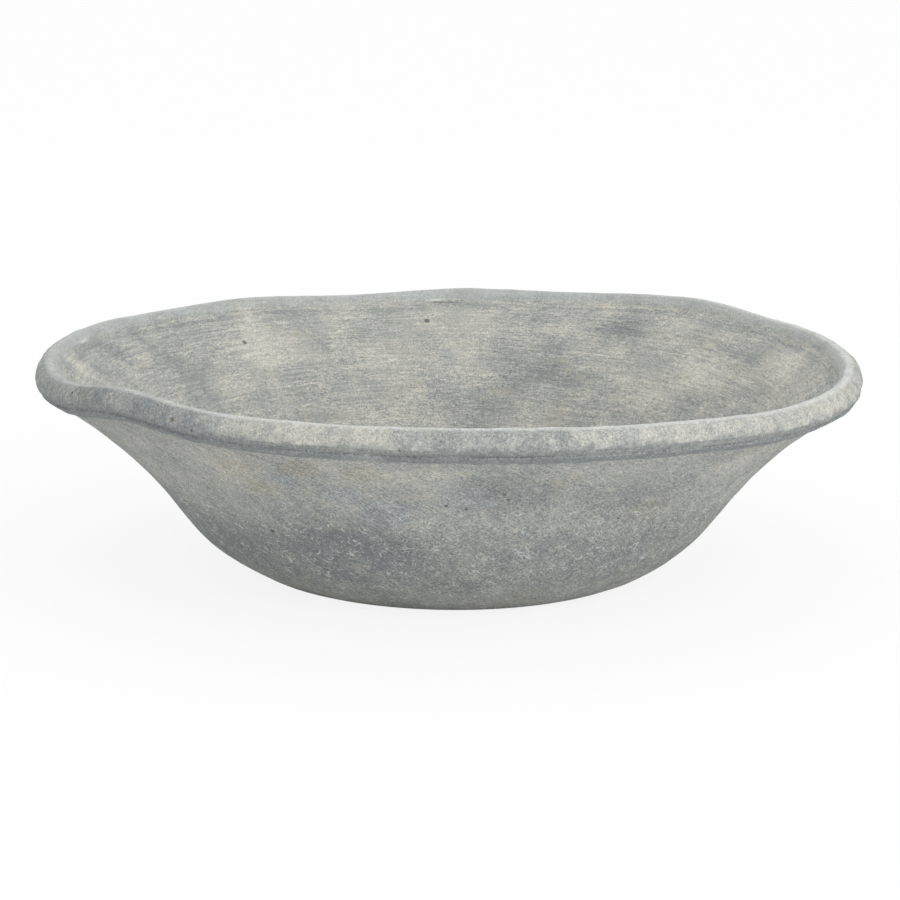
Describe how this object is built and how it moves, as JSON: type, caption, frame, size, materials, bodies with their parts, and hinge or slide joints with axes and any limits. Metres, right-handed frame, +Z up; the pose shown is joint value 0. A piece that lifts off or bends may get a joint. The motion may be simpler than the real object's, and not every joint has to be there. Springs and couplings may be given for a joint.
{
  "type": "bowl planter",
  "caption": "Wide shallow terracotta bowl planter on a flat foot, with a thick wavy rolled rim, a drain hole in the floor and a matt grey lime-washed finish.",
  "frame": {"origin": "centre of the flat foot, on the surface that the bowl stands on, at the axis of the drain hole", "axes": "+Z up out of the bowl along the drain hole; -Y towards the side that the picture shows; +X to the viewer's right"},
  "size_m": [0.5604, 0.5594, 0.1541],
  "materials": {
    "washed_clay": "matt lime wash",
    "rim_clay": "matt lime wash",
    "band_clay": "matt slip"
  },
  "bodies": {
    "root": {"base_slab": "washed_clay", "bowl_wall": "washed_clay", "rim_roll": "rim_clay", "rim_band": "band_clay"}
  },
  "joints": []
}
